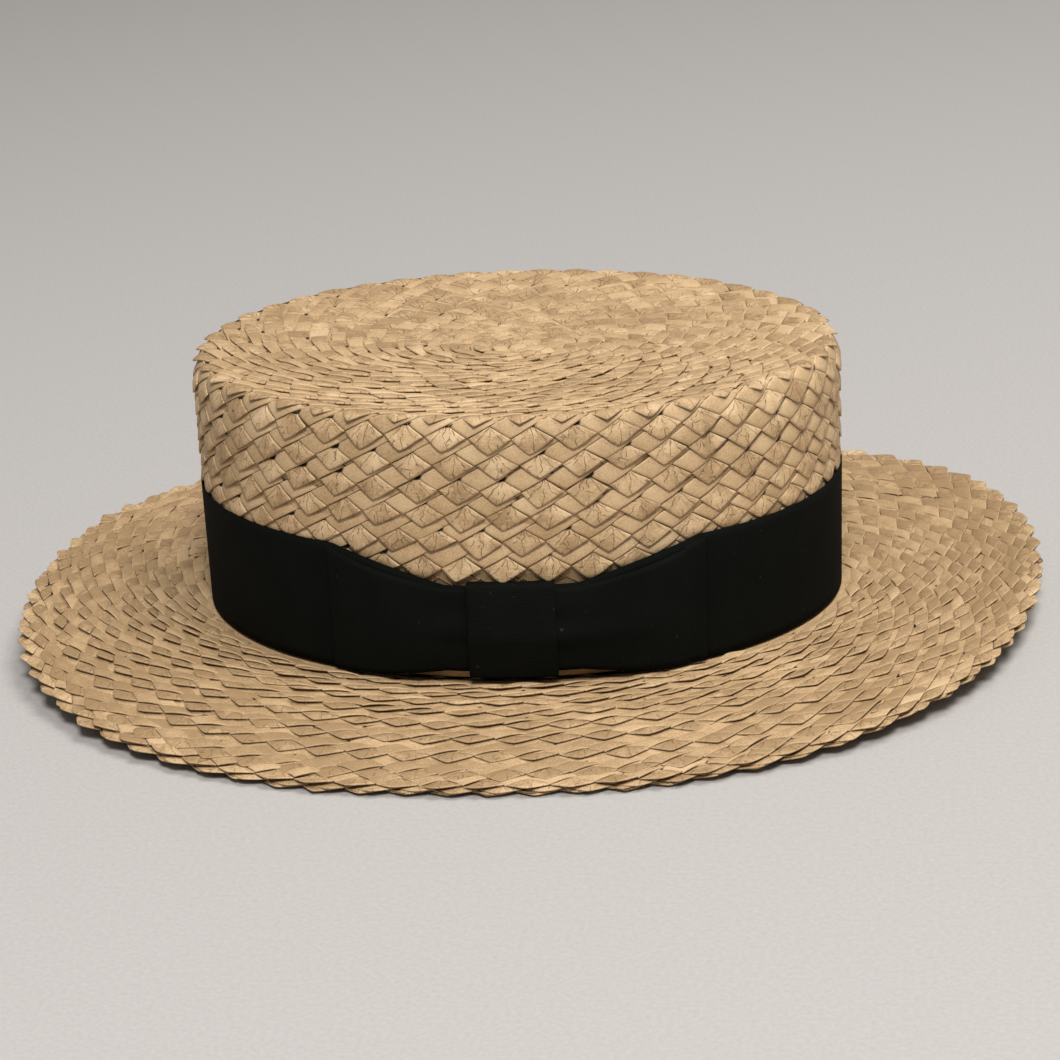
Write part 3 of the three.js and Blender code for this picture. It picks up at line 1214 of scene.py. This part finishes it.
@dataclass(kw_only=True)
class Brim(Coil):
    """The brim: rows of plait above and below a shell, and a layered toothed edge.

    Lengths are in millimetres. The beds run from under the crown to past the brim's edge, and a
    row's teeth end a lap beyond its own width. The upper sink and the lower lift are how far the
    plait's beds lie inside the brim's two faces. The shell lies between them.
    """

    pitch: float = 12.6
    row_width: float = 7.0
    plait: Plait = field(default_factory=lambda: Plait(straw=0.46))
    row_count: int = 8
    under_crown: float = 10.0
    past_edge: float = 4.0
    lap: float = 2.0
    upper_sink: float = 0.4
    lower_lift: float = 0.35
    shell_sink: float = 0.45
    shell_start: float = 2.8
    shell_inset: float = 6.0
    edge_widening: float = 0.6

    @property
    def bed_start(self) -> float:
        """The reach at which the brim's beds start."""
        return HAT.crown_reach - self.under_crown

    def bed(self, level: float, facing: Facing) -> Bed:
        """A bed that follows the brim from under the crown's wall to past its edge.

        Args:
            level: height over the brim's underside.
            facing: LEFT for the upper side and RIGHT for the lower.

        Returns:
            The bed.
        """
        reach = np.linspace(self.bed_start, HAT.brim_reach + self.past_edge, 60)
        return Bed(np.stack([reach, 0.0 * reach + level], -1), facing, HAT.on_brim)

    def row(self, number: int, **looks: float) -> Row:
        """Makes one of the brim's rows, counted outwards from the crown.

        Args:
            number: which row, from 0.
            looks: how it lies and how light it is, by the row's own names.

        Returns:
            The row, at a place of its own round the brim.
        """
        reach = HAT.crown_reach + self.row_width * (number + 1)
        tip = reach + self.lap - self.bed_start
        return Row(tip, self.row_width, self.teeth(reach), self.rng.uniform(), **looks)

    def build_upper(self) -> bpy.types.Object:
        """Lays the rows of the brim's upper side, each over the next one out.

        Returns:
            The piece.
        """
        rows = (
            self.row(
                number,
                step=0.72,
                depth=0.7,
                tone=0.31 - 0.03 * number,
                spread=0.11,
                loose=0.14,
                creased=0.8,
                contrast=0.08,
            )
            for number in range(self.row_count)
        )
        bed = self.bed(HAT.brim_wall - self.upper_sink, Facing.LEFT)
        return self.sew("brim_upper_plait", bed, rows)

    def build_under(self) -> bpy.types.Object:
        """Lays the rows of the brim's underside.

        Returns:
            The piece.
        """
        rows = (
            self.row(number, step=0.4, lift=-0.1, tone=0.45) for number in range(self.row_count)
        )
        bed = self.bed(self.lower_lift, Facing.RIGHT)
        return self.sew("brim_under_plait", bed, rows, COARSE)

    def build_shell(self) -> bpy.types.Object:
        """Makes the brim's shell, closed round, inside the plait.

        Returns:
            The piece, which stands for the brim's solid.
        """
        inner, outer = HAT.crown_reach - self.shell_start, HAT.brim_reach - self.shell_inset
        across = np.linspace(inner, outer, 40)
        top = np.stack([across, 0.0 * across + HAT.brim_wall - self.shell_sink], -1)
        low = np.stack([across[::-1], 0.0 * across + self.lower_lift], -1)
        profile = np.concatenate([top, low, top[:1]])
        made = shell(profile, 260, HAT.on_brim, 0.35)
        piece = made.build("brim_shell", self.straw, "straw_braid")
        close_poles(piece)
        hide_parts("brim")
        return piece

    def build_edge(self) -> list[bpy.types.Object]:
        """Lays the layers of the toothed edge, their teeth set between one another's.

        Returns:
            The upper layers, which stand for the upper edge braid, and the lower ones.
        """
        stands_for = {"brim_edge_upper": "brim_edge_braid", "brim_edge_lower": "brim_under_braid"}
        made = []
        for name, layers in EDGE_LAYERS.items():
            parts = []
            for layer in layers:
                row = Row(
                    HAT.brim_reach - layer.inset - self.bed_start,
                    self.row_width + self.edge_widening,
                    self.teeth(HAT.brim_reach),
                    layer.phase,
                    step=layer.step,
                    tone=layer.tone,
                    spread=0.12,
                    depth=0.74,
                    blunt=0.8,
                    loose=0.14,
                    creased=0.9,
                    contrast=0.05,
                )
                bed = self.bed(layer.level, layer.facing)
                parts.append(self.plait.lay(bed, row, FINE, self.rng))
            piece = MeshData.join(parts).build(name, self.straw, "straw_edge")
            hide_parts(stands_for[name])
            made.append(piece)
        return made


@dataclass
class Ribbon:
    """The ribbon round the crown, and the flat bow of two loops and a knot on it.

    Lengths are in millimetres and heights are over the crown's foot. The thickness is the room
    that a layer of ribbon takes, and the cloth's wall is how thick it is made. The bow offset and
    the two reaches are distances round the crown. The loop step is how far beside the knot the
    gathering starts, and the pleat reach is how far the knot's pleats run out into the loops.
    """

    upright: bpy.types.Material
    level: bpy.types.Material
    band_height: float = 40.5
    thickness: float = 1.0
    bow_offset: float = 8.7
    knot_width: float = 26.0
    knot_foot: float = 2.2
    knot_height: float = 29.5
    left_reach: float = 56.5
    right_reach: float = 58.5
    loop_gap: float = 0.8
    loop_puff: float = 2.2
    ridge_height: float = 2.7
    ridge_place: float = 0.45
    pleat_depth: float = 0.55
    pleat_reach: float = 11.0
    pleat_count: float = 2.5
    end_press: float = 0.5
    end_width: float = 6.0
    loop_step: float = 7.0
    bow_foot: float = 0.9
    cloth_wall: float = 0.55
    ripple_size: float = 0.1
    knot_tuck: float = 0.09
    knot_waist: float = 0.03
    knot_rounding: float = 1.1

    @property
    def ribbon_depth(self) -> float:
        """The ribbon with the room behind it."""
        return self.thickness + HAT.seat

    def distance(self, turn: Array) -> Array:
        """The distance round the crown from the knot's middle to a turn."""
        away = turn + np.pi / 2.0 + np.pi
        round_crown = np.mod(away, FULL_TURN) - np.pi
        return round_crown * HAT.crown_girth / FULL_TURN - self.bow_offset

    def gather(self, distance: Array) -> Array:
        """How far the bow gathers the ribbon: 1 at the knot, evenly down to 0 at a loop's end."""
        reach = np.where(distance < 0.0, self.left_reach, self.right_reach)
        start = self.knot_width / 2.0 + self.loop_step
        return 1.0 - np.clip((np.abs(distance) - start) / (reach - start), 0.0, 1.0)

    def gathered(self, height: Array, distance: Array) -> Array:
        """The height of a thread of the ribbon, drawn towards the knot as the bow gathers it."""
        foot = self.knot_foot + self.ribbon_depth
        room = self.knot_height - 2.0 * self.ribbon_depth
        drawn = foot + room * height / self.band_height
        return height + (drawn - height) * self.gather(distance)

    def place(self, distance: Array, depth: Array, height: Array) -> Array:
        """Places points at a distance round the crown, a depth over its face, and a height."""
        bow_turn = -np.pi / 2.0 + FULL_TURN * self.bow_offset / HAT.crown_girth
        turn = bow_turn + FULL_TURN * distance / HAT.crown_girth
        return HAT.on_crown(HAT.crown_face(height) + depth, height, turn)

    def cloth(self, along: Array, across: Array, points: Array, outward: Array) -> MeshData:
        """Makes a thin closed strip from its outer face and the direction of its thickness.

        The inner face is the outer one moved back by the thickness, and the two are joined at
        their rims, by a grid that goes round the strip's section.

        Args:
            along: millimetres along the ribbon, one for each row of points.
            across: millimetres across it, one for each column.
            points: the outer face, rows by columns by three.
            outward: unit directions of the same shape.

        Returns:
            The strip's mesh.
        """
        back = points - outward * self.cloth_wall
        ring = np.concatenate([points, back[:, ::-1]], axis=1)
        rows, columns = ring.shape[:2]
        quads = grid_quads(rows, columns, wrap=True)
        number = np.arange(rows * columns).reshape(rows, columns)
        half = columns // 2
        caps = []
        for end, flip in ((0, False), (rows - 1, True)):
            face = number[end, :half]
            rear = number[end, half:][::-1]
            cap = np.stack([face[:-1], rear[:-1], rear[1:], face[1:]], -1)
            caps.append(cap[:, ::-1] if flip else cap)
        run = np.concatenate([across, across[::-1]])
        fibre = np.stack(np.broadcast_arrays(along[:, None], run[None, :]), -1)
        return MeshData(
            ring.reshape(-1, 3),
            np.concatenate([quads, *caps]),
            fibre.reshape(-1, 2),
            {"face": np.ones(rows * columns)},
        )

    def outward(self, points: Array, centre: Array) -> Array:
        """Unit normals of a grid of points, on the side away from the centre.

        Args:
            points: rows by columns by three.
            centre: a point on the inner side.

        Returns:
            The normals.
        """
        normal = unit_normals(points)
        return normal * np.sign(np.sum(normal * (points - centre), axis=-1).mean())

    def ridge(self, share: Array) -> Array:
        """The bow's soft ridge: a roof over the ribbon's width, rounded by a root of squares.

        Args:
            share: share of the ribbon's width from its lower edge.

        Returns:
            Its height in millimetres.
        """
        side = np.where(share < self.ridge_place, self.ridge_place, 1.0 - self.ridge_place)
        away = np.abs(share - self.ridge_place) / side
        return self.ridge_height * (1.0 - np.sqrt(away**2 * 0.96 + 0.04 * away))

    def build_band(self) -> bpy.types.Object:
        """Makes the band: a strip round the foot of the crown, gathered behind the knot.

        Returns:
            The piece.
        """
        steps, rows, foot = 360, 16, 0.35
        distance = np.linspace(-HAT.crown_girth / 2.0, HAT.crown_girth / 2.0, steps + 1)
        height = np.linspace(foot, self.band_height, rows)
        way, up = np.meshgrid(distance, height, indexing="ij")
        phases = np.random.default_rng(SEED + 7).uniform(0.0, FULL_TURN, 3)
        ripple = sum(
            self.ripple_size * np.sin(FULL_TURN * way * count / HAT.crown_girth + phase)
            for count, phase in zip((5, 9, 14), phases)
        )
        depth = ripple * (up / self.band_height - 0.4)
        points = self.place(way, depth, self.gathered(up, way))
        outward = self.outward(points, np.array([0.0, 0.0, 30.0]))
        made = self.cloth(distance, height, points, outward)
        piece = made.build("ribbon_band", self.upright, "ribbon")
        close_poles(piece)
        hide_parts("band")
        HAT.crown_girth * MM
        return piece

    def swell(self, side: int, way: Array, share: Array, end: float) -> Array:
        """How far a loop's outer layer swells: by its puff, its ridge and the knot's pleats.

        The puff is a sine between the knot's side and the loop's end. The pleats are a sine
        across the ribbon that dies away from the knot. The right loop's end is pressed down.

        Args:
            side: 1 towards +X and -1 towards -X.
            way: distance from the knot's middle.
            share: share of the ribbon's width from its lower edge.
            end: the distance at which the loop folds back.

        Returns:
            The swell in millimetres.
        """
        start = self.knot_width / 2.0 + self.loop_step
        puff = self.loop_puff * np.sin(np.pi * np.clip((way - start) / (end - start), 0.0, 1.0))
        fade = smooth_step(1.15 - way / end)
        knot_side = np.maximum(way - self.knot_width / 2.0, 0.0)
        waves = self.pleat_depth * np.sin(FULL_TURN * self.pleat_count * share + 1.1 * side)
        pleats = waves * np.exp(-knot_side / self.pleat_reach)
        swell = puff + self.ridge(share) * fade + pleats * np.sin(np.pi * share)
        if side > 0:
            swell = swell + self.end_press * np.tanh((end - self.end_width - way) / 0.5)
        return swell

    def build_loop(self, side: int) -> bpy.types.Object:
        """Makes a loop of the bow: out from the knot on the band, round a fold and back.

        Args:
            side: 1 towards +X and -1 towards -X.

        Returns:
            The piece.
        """
        reach = self.right_reach if side > 0 else self.left_reach
        fold = (self.thickness + self.loop_gap) / 2.0
        middle = HAT.seat + self.thickness + self.loop_gap / 2.0
        end = reach - fold
        run = np.linspace(1.0, end, 60)
        bend = np.linspace(0.0, np.pi, 12)[1:-1]
        distance = np.concatenate([run, end + fold * np.sin(bend), run[::-1]])
        swing = np.concatenate([0.0 * run, bend, 0.0 * run + np.pi])
        height = np.linspace(0.0, 1.0, 18)
        way, share = np.meshgrid(distance, height, indexing="ij")
        turn = np.broadcast_to(swing[:, None], way.shape)
        outer = (1.0 - np.cos(turn)) / 2.0
        lifted = np.maximum(self.swell(side, way, share, end), 0.0)
        depth = middle - fold * np.cos(turn) + outer * lifted
        up = self.bow_foot + (self.band_height - self.bow_foot) * share
        points = self.place(side * way, depth, self.gathered(up, side * way))
        thread = height.size // 2
        length = way_along(points[:, thread])
        normal = unit_normals(points)
        under = run.size // 3
        over = run.size + bend.size + under
        outside = points[over, thread] - points[under, thread]
        flip = np.sign(np.dot(normal[over, thread], outside))
        made = self.cloth(length, height * self.band_height, points, normal * flip)
        name = "bow_loop_right_ribbon" if side > 0 else "bow_loop_left_ribbon"
        piece = made.build(name, self.upright, "ribbon")
        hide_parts("bow_loop_right" if side > 0 else "bow_loop_left")
        return piece

    def build_knot(self) -> bpy.types.Object:
        """Makes the knot: a short strip wrapped over both loops, its edges tucked behind them.

        Returns:
            The piece.
        """
        width = np.linspace(-0.5, 0.5, 24)
        share, side = np.meshgrid(np.linspace(0.0, 1.0, 41), width, indexing="ij")
        front = 2.0 * HAT.seat + 2.0 * self.thickness + self.loop_gap + self.thickness / 2.0
        tuck = self.knot_tuck
        face = np.clip((share - tuck) / (1.0 - 2.0 * tuck), 0.0, 1.0)
        past = np.maximum(tuck - share, 0.0) / tuck + np.maximum(share - 1.0 + tuck, 0.0) / tuck
        flatness = np.sin(np.pi * np.clip(face, 0.04, 0.96)) ** 0.25
        round_off = self.knot_rounding * (1.0 - flatness)
        depth = front + self.ridge(face) - round_off - past * (front + 0.2)
        height = self.knot_foot + self.knot_height * face
        waist = 1.0 - self.knot_waist * np.sin(np.pi * face)
        points = self.place(side * self.knot_width * waist, depth, height)
        length = way_along(points[:, width.size // 2])
        outward = self.outward(points, np.array([0.0, 0.0, 20.0]))
        made = self.cloth(length, width * self.knot_width, points, outward)
        piece = made.build("bow_knot_ribbon", self.level, "ribbon")
        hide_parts("bow_knot")
        return piece


@dataclass
class Studio:
    """The pale floor, the soft lights and the camera.

    Angles are in degrees, the lens is in millimetres and other lengths are in metres.
    """

    azimuth: float = 9.1
    elevation: float = 20.97
    distance: float = 0.9498
    roll: float = -4.09
    lens: float = 99.2
    target: tuple[float, float, float] = (0.0008, 0.0004, 0.0234)
    floor_size: float = 6.0
    room_light: Colour = (0.92, 0.95, 1.0)
    room_strength: float = 0.25

    def build_floor(self) -> bpy.types.Object:
        """Makes a wide floor with a faint mottle.

        Returns:
            The floor, which isn't part of the hat.
        """
        size = self.floor_size
        mesh = bpy.data.meshes.new("floor")
        corners = [(-size, -size, 0.0), (size, -size, 0.0), (size, size, 0.0), (-size, size, 0.0)]
        mesh.from_pydata(corners, [], [(0, 1, 2, 3)])
        nodes = Nodes("floor")
        place = nodes.add("ShaderNodeTexCoord").outputs["Object"]
        grain = nodes.noise(place, 700.0, 2.0, 0.6)
        colour = nodes.ramp(grain, [(0.3, (0.41, 0.385, 0.36)), (0.7, (0.45, 0.425, 0.398))])
        mesh.materials.append(nodes.surface(colour, rough=0.8, shine=0.2))
        floor = bpy.data.objects.new("floor", mesh)
        bpy.context.scene.collection.objects.link(floor)
        return floor

    def add_light(
        self, name: str, place: tuple[float, float, float], size: float, power: float
    ) -> bpy.types.Object:
        """Adds a square area light aimed at the hat.

        Args:
            name: its name.
            place: where it stands, in metres.
            size: its side, in metres.
            power: its power, in watts.

        Returns:
            The light.
        """
        data = bpy.data.lights.new(name, "AREA")
        data.size = size
        data.energy = power
        light = bpy.data.objects.new(name, data)
        light.location = place
        aim = Vector((0.0, 0.0, 0.03)) - Vector(place)
        light.rotation_euler = aim.to_track_quat("-Z", "Y").to_euler()
        bpy.context.scene.collection.objects.link(light)
        return light

    def build_lights(self) -> None:
        """Lights the hat from above its right, from the front, and evenly all round."""
        self.add_light("key", (0.9, 0.05, 2.35), size=1.2, power=39.0)
        self.add_light("front", (0.3, -1.55, 2.05), size=0.7, power=57.0)
        world = bpy.data.worlds.new("room")
        world.use_nodes = True
        background = world.node_tree.nodes["Background"]
        background.inputs["Color"].default_value = (*self.room_light, 1.0)
        background.inputs["Strength"].default_value = self.room_strength
        bpy.context.scene.world = world
        bpy.context.scene.view_settings.view_transform = "Standard"

    def build_camera(self) -> bpy.types.Object:
        """Sets the camera at the photograph's angle, with its slight roll.

        Returns:
            The camera.
        """
        azimuth, elevation = np.radians(self.azimuth), np.radians(self.elevation)
        out, up = np.cos(elevation), np.sin(elevation)
        back = Vector((np.sin(azimuth) * out, -np.cos(azimuth) * out, up))
        data = bpy.data.cameras.new("camera")
        data.lens = self.lens
        data.sensor_width = 36.0
        data.clip_start = 0.05
        data.clip_end = 30.0
        camera = bpy.data.objects.new("camera", data)
        camera.location = Vector(self.target) + back * self.distance
        level = (-back).to_track_quat("-Z", "Y").to_matrix()
        turned = level @ Matrix.Rotation(np.radians(self.roll), 3, "Z")
        camera.rotation_mode = "QUATERNION"
        camera.rotation_quaternion = turned.to_quaternion()
        bpy.context.scene.collection.objects.link(camera)
        bpy.context.scene.camera = camera
        return camera


def main() -> None:
    """Builds the hat's pieces in order, then the studio."""
    logging.basicConfig(level=logging.INFO, format="%(name)s: %(message)s")
    LOG.info("%d nodes in the frame", len(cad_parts))
    rng = np.random.default_rng(SEED)
    straw = StrawFinish().material()
    upright = RibbonFinish("ribbon_upright").material()
    level = RibbonFinish("ribbon_level").material()
    ribbon = Ribbon(upright, level)
    crown = Crown(straw=straw, rng=rng, ribbon=ribbon)
    crown.build_shell()
    crown.build_top()
    crown.build_side()
    crown.build_inside()
    brim = Brim(straw=straw, rng=rng)
    brim.build_shell()
    brim.build_upper()
    brim.build_under()
    brim.build_edge()
    ribbon.build_band()
    ribbon.build_loop(-1)
    ribbon.build_loop(1)
    ribbon.build_knot()
    studio = Studio()
    studio.build_floor()
    studio.build_lights()
    studio.build_camera()


if __name__ == "__main__":
    main()
